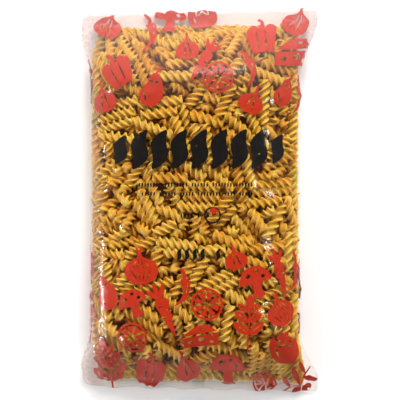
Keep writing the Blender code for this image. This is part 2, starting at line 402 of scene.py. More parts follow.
def fill_gaps(start, end, run, draw):
    """Moves spirals from the bag's middle, where nobody sees them, into the widest gaps under the film."""
    depth = depth_below_skin((start + end) / 2)
    spare = np.argsort(-depth)[:RESEEDED]
    places = scattered_in_bag(GAP_TRIES, draw)
    below = depth_below_skin(places)
    places = places[(below > GAP_DEPTHS[0]) & (below < GAP_DEPTHS[1])]
    away = distance_to_axes(places, start, end)
    for number in spare:
        best = int(np.argmax(away))
        if away[best] < GAP_SIZE:
            break
        way = draw.normal(size=3) * GAP_LYING
        way *= run[number] / np.linalg.norm(way)
        start[number], end[number] = places[best] - way / 2, places[best] + way / 2
        moved = distance_to_axes(places, start[number:number + 1], end[number:number + 1])
        away = np.minimum(away, moved)


def push_apart(start, end, one, other, radius):
    """Moves of the axes' starts and ends that push the given pairs apart where they touch."""
    way = end - start
    s, t = nearest_on_axes(start[one], way[one], start[other], way[other])
    apart = (start[one] + way[one] * s[:, None]) - (start[other] + way[other] * t[:, None])
    distance = np.maximum(lengths(apart), LEAST_DISTANCE)
    push = apart * (np.maximum(2 * radius - distance, 0.0) / distance * 0.5)[:, None]
    moves = np.zeros((2, SPIRAL_COUNT, 3))
    weights = np.full((2, SPIRAL_COUNT), PUSH_CALM)
    for row, sign, share in ((one, 1, s), (other, -1, t)):
        for place, part in enumerate((1 - share, share)):
            touching = (distance < 2 * radius) * part
            for axis in range(3):
                moves[place, :, axis] += np.bincount(row, sign * push[:, axis] * part * 2, SPIRAL_COUNT)
            weights[place] += np.bincount(row, touching, SPIRAL_COUNT)
    moves /= np.maximum(weights, 1.0)[..., None]
    return STIFFNESS * moves.mean(axis=0) + (1 - STIFFNESS) * moves


def settle_spirals(draw):
    """Starts and ends of the spirals' axes, pushed apart inside the bag until they lie close packed."""
    steps = SETTLE_STEPS
    length = draw.uniform(*SPIRAL_LENGTHS, SPIRAL_COUNT)
    broken = draw.random(SPIRAL_COUNT) < BROKEN_SHARE
    length[broken] *= draw.uniform(*BROKEN_LENGTHS, int(broken.sum()))
    run = length - 2 * NESTING_RADIUS
    wall = WALL_RADIUS + WALL_SPREAD * np.abs(draw.normal(size=SPIRAL_COUNT))
    middle = scattered_in_bag(SPIRAL_COUNT, draw)
    way = draw.normal(size=(SPIRAL_COUNT, 3)) * LYING
    way *= (run / lengths(way))[:, None]
    start, end = middle - way / 2, middle + way / 2
    for step in range(steps):
        radius = NESTING_RADIUS * min(1.0, START_SIZE + GROWTH * step / steps)
        if step % (steps // GAP_FILLINGS) == steps // 12 and step < LAST_FILLING * steps:
            fill_gaps(start, end, run, draw)
        if step % NEIGHBOUR_STEPS == 0:
            middle = (start + end) / 2
            gap = np.linalg.norm(middle[:, None] - middle[None], axis=2)
            reach = (run[:, None] + run[None]) / 2 + NEIGHBOUR_REACH * radius
            one, other = np.nonzero(np.triu(gap < reach, 1))
        moves = push_apart(start, end, one, other, radius)
        drift = DRIFT * (1 - step / steps) * outward((start + end) / 2)
        start, end = contain(start + moves[0] + drift, wall), contain(end + moves[1] + drift, wall)
        middle = contain((start + end) / 2, wall)
        way = end - start
        way *= (run / np.maximum(lengths(way), TINY))[:, None]
        start, end = middle - way / 2, middle + way / 2
    grow = way / run[:, None] * NESTING_RADIUS
    start, end = start - grow, end + grow
    too_high = np.maximum(np.maximum(start[:, 2], end[:, 2]) - (HIGH.z - CROWN_ROOM), 0.0)
    too_low = np.maximum(FLOOR_ROOM - np.minimum(start[:, 2], end[:, 2]), 0.0)
    for points in (start, end):
        points[:, 1] += END_SLANT * points[:, 0] * points[:, 1] / HALF_LENGTH
        points[:, 2] += too_low - too_high
    return start, end


def depth_below_skin(points):
    """Rough depths of points below the film: the least of the ways up, down and to the side."""
    half_width, middle, crown, belly = section(points[:, 1])
    off = np.abs(points[:, 0] - BODY_SHIFT * fill_at(points[:, 1]))
    across = np.minimum(off / half_width, 1.0)
    ceiling = middle + crown * arch(across, CROWN_POWER)
    floor = np.maximum(middle - belly * arch(across, BELLY_POWER), FLOOR_GAP)
    return np.min([ceiling - points[:, 2], points[:, 2] - floor, half_width - off], axis=0)


def mesh_object(name, points, faces, material):
    """A smooth-shaded mesh object of the given points and faces."""
    mesh = bpy.data.meshes.new(name)
    mesh.from_pydata(points.tolist(), [], faces if isinstance(faces, list) else faces.tolist())
    mesh.shade_smooth()
    mesh.materials.append(material)
    made = bpy.data.objects.new(name, mesh)
    bpy.context.scene.collection.objects.link(made)
    return made


def tube_faces(rings, sides):
    """Faces of a closed tube of rings of points: quads round it and a cap at each end."""
    ring = np.arange(rings - 1)[:, None] * sides
    here, there = np.arange(sides), (np.arange(sides) + 1) % sides
    quads = np.stack([ring + here, ring + there, ring + sides + there, ring + sides + here], axis=-1)
    last = (rings - 1) * sides
    return [*quads.reshape(-1, 4).tolist(), list(range(sides))[::-1], list(range(last, last + sides))]


def set_attribute(made, name, values):
    """Stores a value for each point of a mesh, for its material."""
    layer = made.data.attributes.new(name, "FLOAT", "POINT")
    layer.data.foreach_set("value", np.asarray(values, np.float32).ravel())


def blade_outline(points_a_blade):
    """Radii (as shares) and angles of the spiral's cross-section, three thick blades that lean."""
    radii, angles = [], []
    for blade in range(BLADES):
        for radius, angle, lean in BLADE_SHAPES[points_a_blade]:
            radii.append(radius)
            angles.append(math.radians(angle + lean) + math.tau * blade / BLADES)
    return np.array(radii), np.array(angles)


def make_spirals(name, start, end, steps, points_a_blade, material, draw):
    """One mesh of twisted three-bladed spirals along the given axes."""
    count = len(start)
    radii, angles = blade_outline(points_a_blade)
    length = lengths(end - start)
    axis = (end - start) / length[:, None]
    helper = np.where(np.abs(axis[:, 2:3]) < 0.9, (0.0, 0.0, 1.0), (1.0, 0.0, 0.0))
    side = np.cross(helper, axis)
    side /= lengths(side)[:, None]
    up = np.cross(axis, side)
    pitch = SPIRAL_PITCH * draw.uniform(*PITCH_SPREAD, count)
    phase = draw.uniform(0, math.tau, count)
    size = SPIRAL_RADIUS * draw.uniform(*SIZE_SPREAD, count)
    bend = draw.uniform(-BENDING, BENDING, (count, 2))
    u = np.linspace(-0.5, 0.5, steps + 1)
    turn = phase[:, None] + math.tau * u * (length / pitch)[:, None]
    wobble = 1 + WOBBLE * np.sin(turn * 1.7 + phase[:, None]) - TIP_TAPER * (2 * np.abs(u)) ** 8
    theta = turn[:, :, None] + angles
    reach = (size[:, None] * wobble)[:, :, None] * radii
    bow = 4 * u**2 - 0.33
    across = reach * np.cos(theta) + (bend[:, :1] * bow)[:, :, None]
    above = reach * np.sin(theta) + (bend[:, 1:] * bow)[:, :, None]
    middle = (start + end) / 2
    along = middle[:, None] + axis[:, None] * (length[:, None] * u)[:, :, None]
    points = (along[:, :, None] + side[:, None, None] * across[..., None]
              + up[:, None, None] * above[..., None]).reshape(-1, 3)
    block = (steps + 1) * len(radii)
    tube = tube_faces(steps + 1, len(radii))
    faces = [[v + number * block for v in face] for number in range(count) for face in tube]
    made = mesh_object(name, points, faces, material)
    # their depth below the film, from which the material paints shade on the deeper spirals
    set_attribute(made, "depth", unit(depth_below_skin(points) / SHADE_DEPTH))
    return made


def resample(points, count):
    """The same line with count + 1 points, evenly spaced along it, and its length."""
    run = np.concatenate([[0.0], np.cumsum(lengths(np.diff(points, axis=0)))])
    places = np.linspace(0.0, run[-1], count + 1)
    return np.stack([np.interp(places, run, values) for values in points.T], axis=1), run[-1]


def film_base():
    """The film's rows along y, its undraped grid of them and columns round the tube, and its arc lengths."""
    seal = np.linspace(SEAL_LINE, HALF_LENGTH, SEAL_ROWS + 1)[1:]
    rows = np.concatenate([-seal[::-1], np.linspace(-SEAL_LINE, SEAL_LINE, BODY_ROWS + 1), seal])
    angles = np.linspace(0, math.pi, SECTION_POINTS)
    grid, arcs = [], []
    for y in rows:
        top, top_arc = resample(skin_points(angles, np.full_like(angles, y)), TOP_COLUMNS)
        belly, belly_arc = resample(skin_points(angles + math.pi, np.full_like(angles, y)), BELLY_COLUMNS)
        grid.append(np.concatenate([top[:-1], belly[:-1]]))
        arcs.append((top_arc, belly_arc))
    return rows, np.array(grid), np.array(arcs)


def grid_normals(grid):
    """Outward normals of the film's grid."""
    along = np.gradient(grid, axis=0)
    round_tube = np.roll(grid, -1, axis=1) - np.roll(grid, 1, axis=1)
    normal = np.cross(round_tube, along)
    normal /= np.maximum(np.linalg.norm(normal, axis=2, keepdims=True), TINY)
    return -normal


def contact_heights(grid, normal, rows, start, end):
    """How far out along its normal each point of the film has to be to clear the spirals."""
    reach = SPIRAL_RADIUS + FILM_OFF_PASTA
    heights = np.full(grid.shape[:2], -1.0)
    near = depth_below_skin((start + end) / 2) < 3 * SPIRAL_RADIUS
    for p, q in zip(start[near], end[near]):
        low = np.searchsorted(rows, min(p[1], q[1]) - 2 * reach)
        high = np.searchsorted(rows, max(p[1], q[1]) + 2 * reach)
        block, out = grid[low:high], normal[low:high]
        way = q - p
        share = np.clip(((block - p) @ way) / (way @ way), TIP_SHARE, 1 - TIP_SHARE)
        gap = block - (p + share[..., None] * way)
        above = np.einsum("ijk,ijk->ij", gap, out)
        beside = np.einsum("ijk,ijk->ij", gap, gap) - above**2
        height = -above + np.sqrt(np.maximum(reach**2 - beside, 0.0))
        height[(beside > reach**2) | (np.abs(above) > 4 * reach)] = -1.0
        heights[low:high] = np.maximum(heights[low:high], height)
    return heights


def drape(heights, rows):
    """Heights of a film that rests on the contact heights and sags between them, less where it is flat."""
    for_each, added = SAG_BY_FILL
    limit = -DEEPEST_SAG * unit(fill_at(rows) * for_each + added)[:, None]
    film = np.zeros_like(heights)
    floor = np.maximum(heights, limit)
    for _ in range(DRAPE_STEPS):
        mean = (np.roll(film, 1, 1) + np.roll(film, -1, 1)) / 2
        mean[1:-1] = (mean[1:-1] * 2 + film[2:] + film[:-2]) / 4
        film = np.maximum(mean - SAG, floor)
        film[:WELD_ROWS[0]] = film[-WELD_ROWS[1]:] = 0.0
    return film


def crease_heights(around, rows, draw):
    """Heights of the sharp little folds in the film; around holds each point's run round the tube."""
    heights = np.zeros_like(around)
    along = np.broadcast_to(rows[:, None], around.shape)
    creases = []
    for _ in range(CREASES):
        y = draw.uniform(-0.5, 0.5) * BAG_LENGTH
        s = draw.uniform(-2, 2) * HALF_TUBE
        turn = draw.normal(0, CREASE_TURN)
        creases.append((s, y, turn, draw.uniform(*CREASE_LENGTHS), draw.uniform(*CREASE_HEIGHTS)))
    for end in (-1, 1):
        for _ in range(END_CREASES):
            s = draw.uniform(-2, 2) * HALF_TUBE
            y = end * (SEAL_LINE - draw.uniform(*END_CREASE_INSETS))
            turn = math.pi / 2 - END_CREASE_FAN * end * s / HALF_TUBE + draw.normal(0, END_CREASE_TURN)
            creases.append((s, y, turn, draw.uniform(*END_CREASE_LENGTHS), draw.uniform(*END_CREASE_HEIGHTS)))
    for s, y, turn, length, height in creases:
        low, high = np.searchsorted(rows, (y - length, y + length))
        ds, dy = around[low:high] - s, along[low:high] - y
        run = ds * math.cos(turn) + dy * math.sin(turn)
        off = -ds * math.sin(turn) + dy * math.cos(turn)
        off = off + CREASE_BEND * np.sin(run / length * 5.0 + s * 900)
        fade = unit(1 - (2 * run / length) ** 2)
        width = CREASE_WIDTH + WIDTH_BY_HEIGHT * height
        heights[low:high] += height * fade * np.exp(-np.abs(off) / width)
    return heights


def smooth_side(grid, rows, film):
    """Heights of the film where it stands off the pasta near its left side and catches the light."""
    y = rows[:, None]
    bottom, top = SMOOTH_ENDS
    fade = unit((top - y) / SMOOTH_FADE) * unit((y - bottom) / SMOOTH_FADE)
    upper = grid[:, :, 2] > section(rows)[1][:, None]
    away = np.where(upper, grid[:, :, 0] - SMOOTH_X, 1.0)
    near = unit(SMOOTH_SHARE * fade * np.exp(-((away / SMOOTH_WIDTH) ** 2)))
    tilt = SIDE_TILT * (np.sin(y * TILT_WAVES[0] + 0.6) + SHORT_WAVES * np.sin(y * TILT_WAVES[1]))
    broad = sum(np.exp(-(((y - at) / BLOB_SIZE) ** 2)) for at in SMOOTH_BLOBS)
    level = SIDE_LIFT + (tilt + BLOB_FLATNESS * broad * away) * away
    return np.maximum(film, film + near * (level - film))


def crumple_heights(grid):
    """Sharp dents of the slack film at the corners; waves of odd lengths cross, so that none is alike."""
    heights = np.zeros(grid.shape[:2])
    x, y = grid[:, :, 0], grid[:, :, 1]
    for corner_x, corner_y, size, height in CRUMPLES:
        away = np.hypot(x - corner_x, y - corner_y) / size
        u, v = (x - corner_x) * CRUMPLE_WAVES, (y - corner_y) * CRUMPLE_WAVES
        folds = np.abs(np.sin(u + 1.4 * np.sin(v * 0.63))) + np.abs(np.sin(v * 0.87 - 1.2 * np.sin(u * 0.71)))
        small = np.abs(np.sin(2.3 * u - 1.1 * np.sin(1.7 * v)))
        heights += height * (folds + 0.4 * small - 1.3) * np.exp(-(away**2))
    return heights


def make_film(start, end, material, draw):
    """The clear film as one closed mesh, and the map that places things on it."""
    rows, grid, arcs = film_base()
    normal = grid_normals(grid)
    column = np.arange(TOP_COLUMNS + BELLY_COLUMNS)
    top_share = column / TOP_COLUMNS - 0.5
    belly_share = (column - TOP_COLUMNS) / BELLY_COLUMNS
    around = np.where(column < TOP_COLUMNS, -top_share * arcs[:, :1],
                      -arcs[:, :1] / 2 - belly_share * arcs[:, 1:])
    film = drape(contact_heights(grid, normal, rows, start, end), rows)
    # The haze value: real haze of the loose film, with painted shade in the ears and folds and a painted
    # sheen at the top end, the left strip and the edges.
    span = np.where(rows > 0, EAR_SPANS[1], EAR_SPANS[0])
    ear_haze_and_shade = EAR_HAZE_AND_SHADE * unit(span - EAR_FADE * fill_at(rows))[:, None]
    sets_in, full, most = TOP_HAZE_AND_SHEEN
    top_haze_and_sheen = most * unit((rows[:, None] - sets_in) / (full - sets_in))
    left_strip = unit((LEFT_STRIP - grid[:, :, 0]) / STRIP_FADE)
    crumples = crumple_heights(grid)
    haze_and_painted_light = np.maximum(np.maximum(ear_haze_and_shade, top_haze_and_sheen), SIDE_HAZE_AND_SHEEN * left_strip)
    from_side = np.min([column, np.abs(column - TOP_COLUMNS), len(column) - column], axis=0)
    rim = (from_side < RIM_COLUMNS) * (fill_at(rows) < RIM_FILL)[:, None]
    rim = rim | (np.abs(rows) > HALF_LENGTH - RIM_WIDTH)[:, None]
    haze_and_painted_light = unit(haze_and_painted_light + FOLD_HAZE_AND_SHADE * np.abs(crumples) / CRUMPLES[0][3] + RIM_HAZE_AND_SHEEN * rim)
    in_seal = np.zeros(len(rows))
    in_seal[:WELD_ROWS[0]] = in_seal[-WELD_ROWS[1]:] = 1.0
    free = (1 - in_seal)[:, None]
    film = smooth_side(grid, rows, film + crease_heights(around, rows, draw)) + crumples
    shaped = grid + normal * (film * free)[..., None]
    ribs = SEAL_RIB * np.sin(rows * math.tau / SEAL_RIB_PITCH) * in_seal
    shaped[:, :, 2] += ribs[:, None] + (in_seal * SEAL_RIB)[:, None]
    shaped[:, :, 2] = np.clip(shaped[:, :, 2], FLOOR_GAP, HIGH.z)
    made = mesh_object("film", shaped.reshape(-1, 3), film_faces(len(rows), len(column)), material)
    set_attribute(made, "haze_and_painted_light", haze_and_painted_light)
    return made, FilmMap(rows, shaped, arcs)


def film_faces(row_count, column_count):
    """Quads round the tube, and the strips that close its two ends."""
    row = np.arange(row_count - 1)[:, None] * column_count
    here = np.arange(column_count)
    there = (here + 1) % column_count
    quads = np.stack([row + here, row + column_count + here, row + column_count + there, row + there], -1)
    faces = quads.reshape(-1, 4).tolist()
    for first, flip in ((0, True), ((row_count - 1) * column_count, False)):
        top = [first + k for k in range(TOP_COLUMNS + 1)]
        belly = [first + k % column_count for k in range(column_count, TOP_COLUMNS - 1, -1)]
        i, j = 0, 0
        while i < TOP_COLUMNS or j < BELLY_COLUMNS:
            if j * TOP_COLUMNS >= i * BELLY_COLUMNS and i < TOP_COLUMNS:
                face = (top[i], top[i + 1], belly[j])
                i += 1
            else:
                face = (top[i], belly[j + 1], belly[j])
                j += 1
            if len(set(face)) == 3:
                faces.append(list(face if flip else face[::-1]))
    return faces


class FilmMap:
    """Finds points on the draped film from a run round the tube and a place along it."""

    def __init__(self, rows, shaped, arcs):
        self.rows, self.arcs = rows, arcs
        self.shaped = np.concatenate([shaped, shaped[:, :1]], axis=1)
        normal = grid_normals(shaped)
        self.normal = np.concatenate([normal, normal[:, :1]], axis=1)

    def place(self, s, y, depth):
        """Points at arrays s (0 at the crown, positive to the right) and y, so far inside the film."""
        y = np.clip(y, self.rows[0], self.rows[-1])
        row = np.interp(y, self.rows, np.arange(len(self.rows)))
        low = np.minimum(row.astype(int), len(self.rows) - 2)
        top = np.interp(y, self.rows, self.arcs[:, 0])
        belly = np.interp(y, self.rows, self.arcs[:, 1])
        s = (s + top / 2) % (top + belly) - top / 2
        column = np.where(s <= top / 2, (0.5 - s / top) * TOP_COLUMNS,
                          TOP_COLUMNS + BELLY_COLUMNS - (s - top / 2) / belly * BELLY_COLUMNS)
        left = np.minimum(column.astype(int), TOP_COLUMNS + BELLY_COLUMNS - 1)
        v, u = (row - low)[:, None], (column - left)[:, None]

        def mix(values):
            near = values[low, left] * (1 - u) + values[low, left + 1] * u
            far = values[low + 1, left] * (1 - u) + values[low + 1, left + 1] * u
            return near * (1 - v) + far * v

        return mix(self.shaped) - mix(self.normal) * depth


def make_back_seam(film_map, material):
    """The tube's lengthwise seam, a fin of two films folded flat against the belly."""
    rows = np.linspace(-HALF_LENGTH + SEAM_INSET, HALF_LENGTH - SEAM_INSET, SEAM_ROWS)
    across = np.linspace(-0.5, 0.5, SEAM_COLUMNS) * SEAM_WIDTH
    loop = np.concatenate([across, across[::-1]])
    layer = np.repeat(SEAM_DEPTHS, SEAM_COLUMNS)
    middle = np.interp(rows, film_map.rows, film_map.arcs.sum(axis=1)) / 2
    s = (middle[:, None] + loop).ravel()
    y = np.repeat(rows, len(loop))
    points = film_map.place(s, y, -np.tile(layer, SEAM_ROWS)[:, None])
    points[:, 2] = np.maximum(points[:, 2], FLOOR_GAP - np.tile(layer, SEAM_ROWS))
    return mesh_object("back_seam", points, tube_faces(SEAM_ROWS, len(loop)), material)


def circle(x, y, radius, squash=1.0, turn=0.0):
    """Outline of an ellipse."""
    cosine, sine = math.cos(turn), math.sin(turn)
    outline = []
    for k in range(CIRCLE_POINTS):
        a = math.tau * k / CIRCLE_POINTS
        u, v = radius * math.cos(a), radius * squash * math.sin(a)
        outline.append((x + u * cosine - v * sine, y + u * sine + v * cosine))
    return outline


def smooth(points):
    """Closed Catmull-Rom outline through the given points."""
    outline, count = [], len(points)
    for k in range(count):
        a, b, c, d = (points[(k + j) % count] for j in (-1, 0, 1, 2))
        for step in range(SMOOTH_STEPS):
            t = step / SMOOTH_STEPS
            outline.append(tuple(
                0.5 * (2 * q + (r - p) * t + (2 * p - 5 * q + 4 * r - w) * t**2
                       + (3 * q - p - 3 * r + w) * t**3)
                for p, q, r, w in zip(a, b, c, d)))
    return outline


def mirrored(points):
    """The points and their mirror images across the Y axis, as one loop."""
    return list(points) + [(-x, y) for x, y in reversed(points) if abs(x) > 1e-6]


def leaf(x, y, tip_x, tip_y, width):
    """Outline of a pointed leaf from one point to another."""
    outline = []
    ux, uy = tip_x - x, tip_y - y
    length = math.hypot(ux, uy)
    for side in (1, -1):
        for k in range(LEAF_POINTS):
            t = k / LEAF_POINTS if side > 0 else 1 - k / LEAF_POINTS
            bulge = side * width * math.sin(math.pi * t) ** 0.8
            outline.append((x + ux * t - uy / length * bulge, y + uy * t + ux / length * bulge))
    return outline


def bar(x, y, end_x, end_y, width):
    """Outline of a straight bar with rounded ends."""
    turn = math.atan2(end_y - y, end_x - x)
    outline = []
    for cx, cy, first in ((end_x, end_y, -90), (x, y, 90)):
        for k in range(BAR_POINTS):
            a = turn + math.radians(first + 180 / (BAR_POINTS - 1) * k)
            outline.append((cx + width / 2 * math.cos(a), cy + width / 2 * math.sin(a)))
    return outline


def rounded(*points):
    """Smooth outline through points in hundredths of a figure's size."""
    return smooth([(x / 100, y / 100) for x, y in points])


def mound(*points):
    """The same for a figure that is alike on both sides, from the points of its right side."""
    return smooth(mirrored([(x / 100, y / 100) for x, y in points]))


def painted(*outlines):
    """Layers that paint what they cover."""
    return [(outline, 1) for outline in outlines]


def cleared(*outlines):
    """Layers that clear what they cover."""
    return [(outline, 0) for outline in outlines]


def tomato():
    body = mound((0, 36), (26, 42), (49, 22), (50, -12), (30, -40), (0, -46))
    angles = [math.radians(degrees) for degrees in (8, 62, 118, 172, 232, 308)]
    halo = [leaf(0, 0.30, 0.38 * math.cos(a), 0.30 + 0.32 * math.sin(a), 0.105) for a in angles]
    star = [leaf(0, 0.30, 0.32 * math.cos(a), 0.30 + 0.26 * math.sin(a), 0.062) for a in angles]
    stalk, shine = bar(0, 0.30, 0.05, 0.50, 0.07), leaf(-0.33, 0.02, -0.22, -0.26, 0.035)
    return painted(body) + cleared(*halo) + painted(*star, stalk) + cleared(shine)


def mushroom():
    cap = mound((0, 48), (30, 40), (50, 12), (47, -2), (22, -5), (0, -6))
    stem = mound((0, -1), (13, -2), (14, -26), (20, -42), (0, -48))
    gills = [bar(x, -0.005, x * 0.82, -0.045, 0.022) for x in (-0.4, -0.28, 0.28, 0.4)]
    spots = [circle(x, y, r) for x, y, r in ((-0.2, 0.22, 0.07), (0.1, 0.32, 0.055), (0.26, 0.12, 0.06))]
    return painted(cap) + cleared(*spots, *gills, bar(-0.36, -0.08, 0.36, -0.08, 0.03)) + painted(stem)


def pepper():
    body = mound((0, 24), (22, 32), (40, 18), (36, -18), (24, -46), (10, -44), (0, -48))
    stem = rounded((-5, 24), (-4, 40), (-12, 50), (-4, 53), (5, 42), (6, 24))
    ribs = [leaf(side * 0.13, 0.16, side * 0.10, -0.36, 0.020) for side in (-1, 1)]
    rim, inside_rim = circle(0, 0.27, 0.13, 0.38), circle(0, 0.29, 0.10, 0.40)
    return painted(body) + cleared(*ribs, rim) + painted(inside_rim, stem)


def onion():
    body = mound((5, 44), (7, 28), (34, 14), (44, -10), (30, -34), (0, -42))
    rings = []
    for x in (-0.26, -0.09, 0.09, 0.26):
        rings += [leaf(x * 0.25, 0.24, x, -0.06, 0.012), leaf(x, -0.06, x * 0.30, -0.36, 0.012)]
    roots = [bar(x * 0.3, -0.40, x, -0.50, 0.025) for x in (-0.12, 0.0, 0.12)]
    shoots = [leaf(0.0, 0.36, 0.10, 0.56, 0.03), leaf(0.0, 0.36, -0.09, 0.54, 0.03)]
    return painted(body) + cleared(*rings) + painted(*roots, *shoots)


def garlic():
    body = mound((4, 48), (6, 22), (34, 2), (40, -24), (22, -42), (0, -44))
    cuts = [leaf(side * 0.03, 0.16, side * 0.13, -0.38, 0.024) for side in (-1, 1)]
    return painted(body) + cleared(*cuts)


def sprig():
    shapes = painted(bar(-0.04, -0.52, 0.03, 0.34, 0.035))
    for y, size in ((-0.22, 0.34), (0.02, 0.31), (0.22, 0.24)):
        for side in (-1, 1):
            tip = (side * size * 0.95, y + size * 0.75)
            shapes += painted(leaf(0.0, y, *tip, size * 0.27))
            shapes += cleared(leaf(side * 0.05, y + 0.05, tip[0] * 0.8, y + size * 0.60, 0.011))
    return shapes + painted(leaf(0.02, 0.26, 0.04, 0.60, 0.085))


def carrot():
    root = rounded((-13, 20), (0, 25), (13, 20), (11, -5), (5, -36), (0, -56), (-5, -36), (-11, -5))
    marks = ((-0.12, 0.10, 0.09), (0.03, 0.0, 0.08), (-0.09, -0.12, 0.07), (0.01, -0.24, 0.05))
    rings = [bar(x, y, x + run, y - 0.01, 0.022) for x, y, run in marks]
    tops = [leaf(0.0, 0.22, x, y, 0.05) for x, y in ((-0.20, 0.50), (-0.02, 0.60), (0.18, 0.52))]
    return painted(root) + cleared(*rings) + painted(*tops)


def chilli():
    body = rounded((-10, 24), (6, 28), (16, 16), (17, -8), (6, -34), (-20, -52), (-4, -30), (0, -10), (-6, 8))
    stem = rounded((-6, 26), (-6, 36), (-16, 50), (-9, 53), (2, 40), (3, 27))
    shine, cap_edge = leaf(0.10, 0.16, 0.09, -0.16, 0.018), bar(-0.10, 0.25, 0.07, 0.29, 0.03)
    return painted(body) + cleared(shine, cap_edge) + painted(stem)


def wedge():
    rind = [(-0.52, -0.30), (0.50, -0.30), (0.50, 0.06), (-0.52, -0.02)]
    top = [(-0.52, 0.03), (0.50, 0.11), (0.24, 0.32), (-0.10, 0.30)]
    holes = ((-0.30, -0.16, 0.065), (0.02, -0.10, 0.085), (0.30, -0.18, 0.06), (0.36, 0.0, 0.04))
    cuts = [circle(x, y, radius, 0.85) for x, y, radius in holes] + [circle(0.08, 0.21, 0.06, 0.5)]
    return painted(rind, top) + cleared(*cuts)


def citrus():
    shapes = painted(circle(0, 0, 0.48)) + cleared(circle(0, 0, 0.41))
    for k in range(8):
        a, half = math.tau * (k + 0.5) / 8, math.radians(17)
        spread = [a + half * t for t in (-1, -0.5, 0, 0.5, 1)]
        arc = [(0.365 * math.cos(b), 0.365 * math.sin(b)) for b in spread]
        shapes += painted([(0.07 * math.cos(a), 0.07 * math.sin(a)), *arc])
    return shapes


def olives():
    shapes = painted(bar(-0.46, -0.28, 0.44, 0.26, 0.035))
    leaves = ((-0.30, -0.18, -0.40, 0.20), (-0.05, -0.03, -0.08, 0.36), (0.22, 0.13, 0.16, 0.46),
              (0.10, 0.06, 0.46, -0.08))
    shapes += painted(*[leaf(*ends, 0.075) for ends in leaves])
    for x, y in ((-0.12, -0.30), (0.14, -0.26)):
        shapes += painted(circle(x, y, 0.14, 0.78, 0.9)) + cleared(circle(x + 0.05, y - 0.06, 0.032))
    return shapes


def aubergine():
    body = rounded((10, 26), (24, 10), (28, -18), (10, -44), (-18, -42), (-30, -18), (-16, 8), (-4, 26))
    cap = rounded((-8, 30), (2, 36), (14, 30), (22, 12), (10, 20), (3, 10), (-4, 20), (-14, 14))
    halo, stalk = circle(0.03, 0.24, 0.17, 0.75), bar(0.03, 0.32, 0.12, 0.52, 0.06)
    shine = leaf(-0.20, -0.10, -0.12, -0.34, 0.03)
    return painted(body) + cleared(halo) + painted(cap, stalk) + cleared(shine)


MOTIFS = (  # figure and size
    (tomato, 0.029), (sprig, 0.044), (mushroom, 0.030), (pepper, 0.033), (wedge, 0.036), (chilli, 0.036),
    (onion, 0.033), (carrot, 0.044), (citrus, 0.027), (garlic, 0.029), (olives, 0.037), (aubergine, 0.036),
)


def inside(points, outline):
    """Which of the points lie in a closed outline."""
    x, y = points[:, 0], points[:, 1]
    found = np.zeros(len(points), bool)
    for (ax, ay), (bx, by) in zip(outline, outline[1:] + outline[:1]):
        crosses = (ay > y) != (by > y)
        slope = (bx - ax) / (by - ay) if by != ay else 0.0
        found ^= crosses & (x < ax + (y - ay) * slope)
    return found


def densified(outline, step):
    """The outline with points added on its long edges."""
    points = []
    for (ax, ay), (bx, by) in zip(outline, outline[1:] + outline[:1]):
        parts = max(1, math.ceil(math.hypot(bx - ax, by - ay) / step))
        points += [(ax + (bx - ax) * k / parts, ay + (by - ay) * k / parts) for k in range(parts)]
    return points


def flat_shape(layers, step):
    """Points and triangles of a flat shape, from layers that paint or clear what they cover."""
    points, edges = [], []
    for outline, _ in layers:
        loop = densified(outline, step)
        first = len(points)
        points += loop
        edges += [(first + k, first + (k + 1) % len(loop)) for k in range(len(loop))]
    spread = np.array(points)
    low, high = spread.min(axis=0), spread.max(axis=0)
    rows = np.arange(low[1] + step / 2, high[1], step * TRIANGLE_ROW)
    for number, y in enumerate(rows):
        for x in np.arange(low[0] + step * (0.25 + 0.5 * (number % 2)), high[0], step):
            points.append((float(x), float(y)))
    made = delaunay_2d_cdt([Vector(p) for p in points], edges, [], 0, step * 0.02, False)
    places = np.array([(p.x, p.y) for p in made[0]])
    faces = np.array(made[2])
    middles = places[faces].mean(axis=1)
    kept = np.zeros(len(faces), bool)
    for outline, paint in layers:
        kept[inside(middles, outline)] = bool(paint)
    faces = faces[kept]
    used, faces = np.unique(faces, return_inverse=True)
    return places[used], faces.reshape(-1, 3)


def turned(points, size, turn, s, y):
    """Flat points scaled, turned and moved to a place on the film."""
    cosine, sine = math.cos(turn), math.sin(turn)
    u, v = points[:, 0] * size, points[:, 1] * size
    return np.stack([s + u * cosine - v * sine, y + u * sine + v * cosine], axis=1)


def meets_a_row(rim):
    """Whether the box round a motif comes near a row of black strokes on the front."""
    low, high = rim.min(axis=0) - MOTIF_GAP, rim.max(axis=0) + MOTIF_GAP
    middle, height = (low[1] + high[1]) / 2, high[1] - low[1]
    return any(low[0] < right and high[0] > left and abs(y - middle) < (height + tall) / 2
               for left, right, y, tall in FRONT_ROWS)


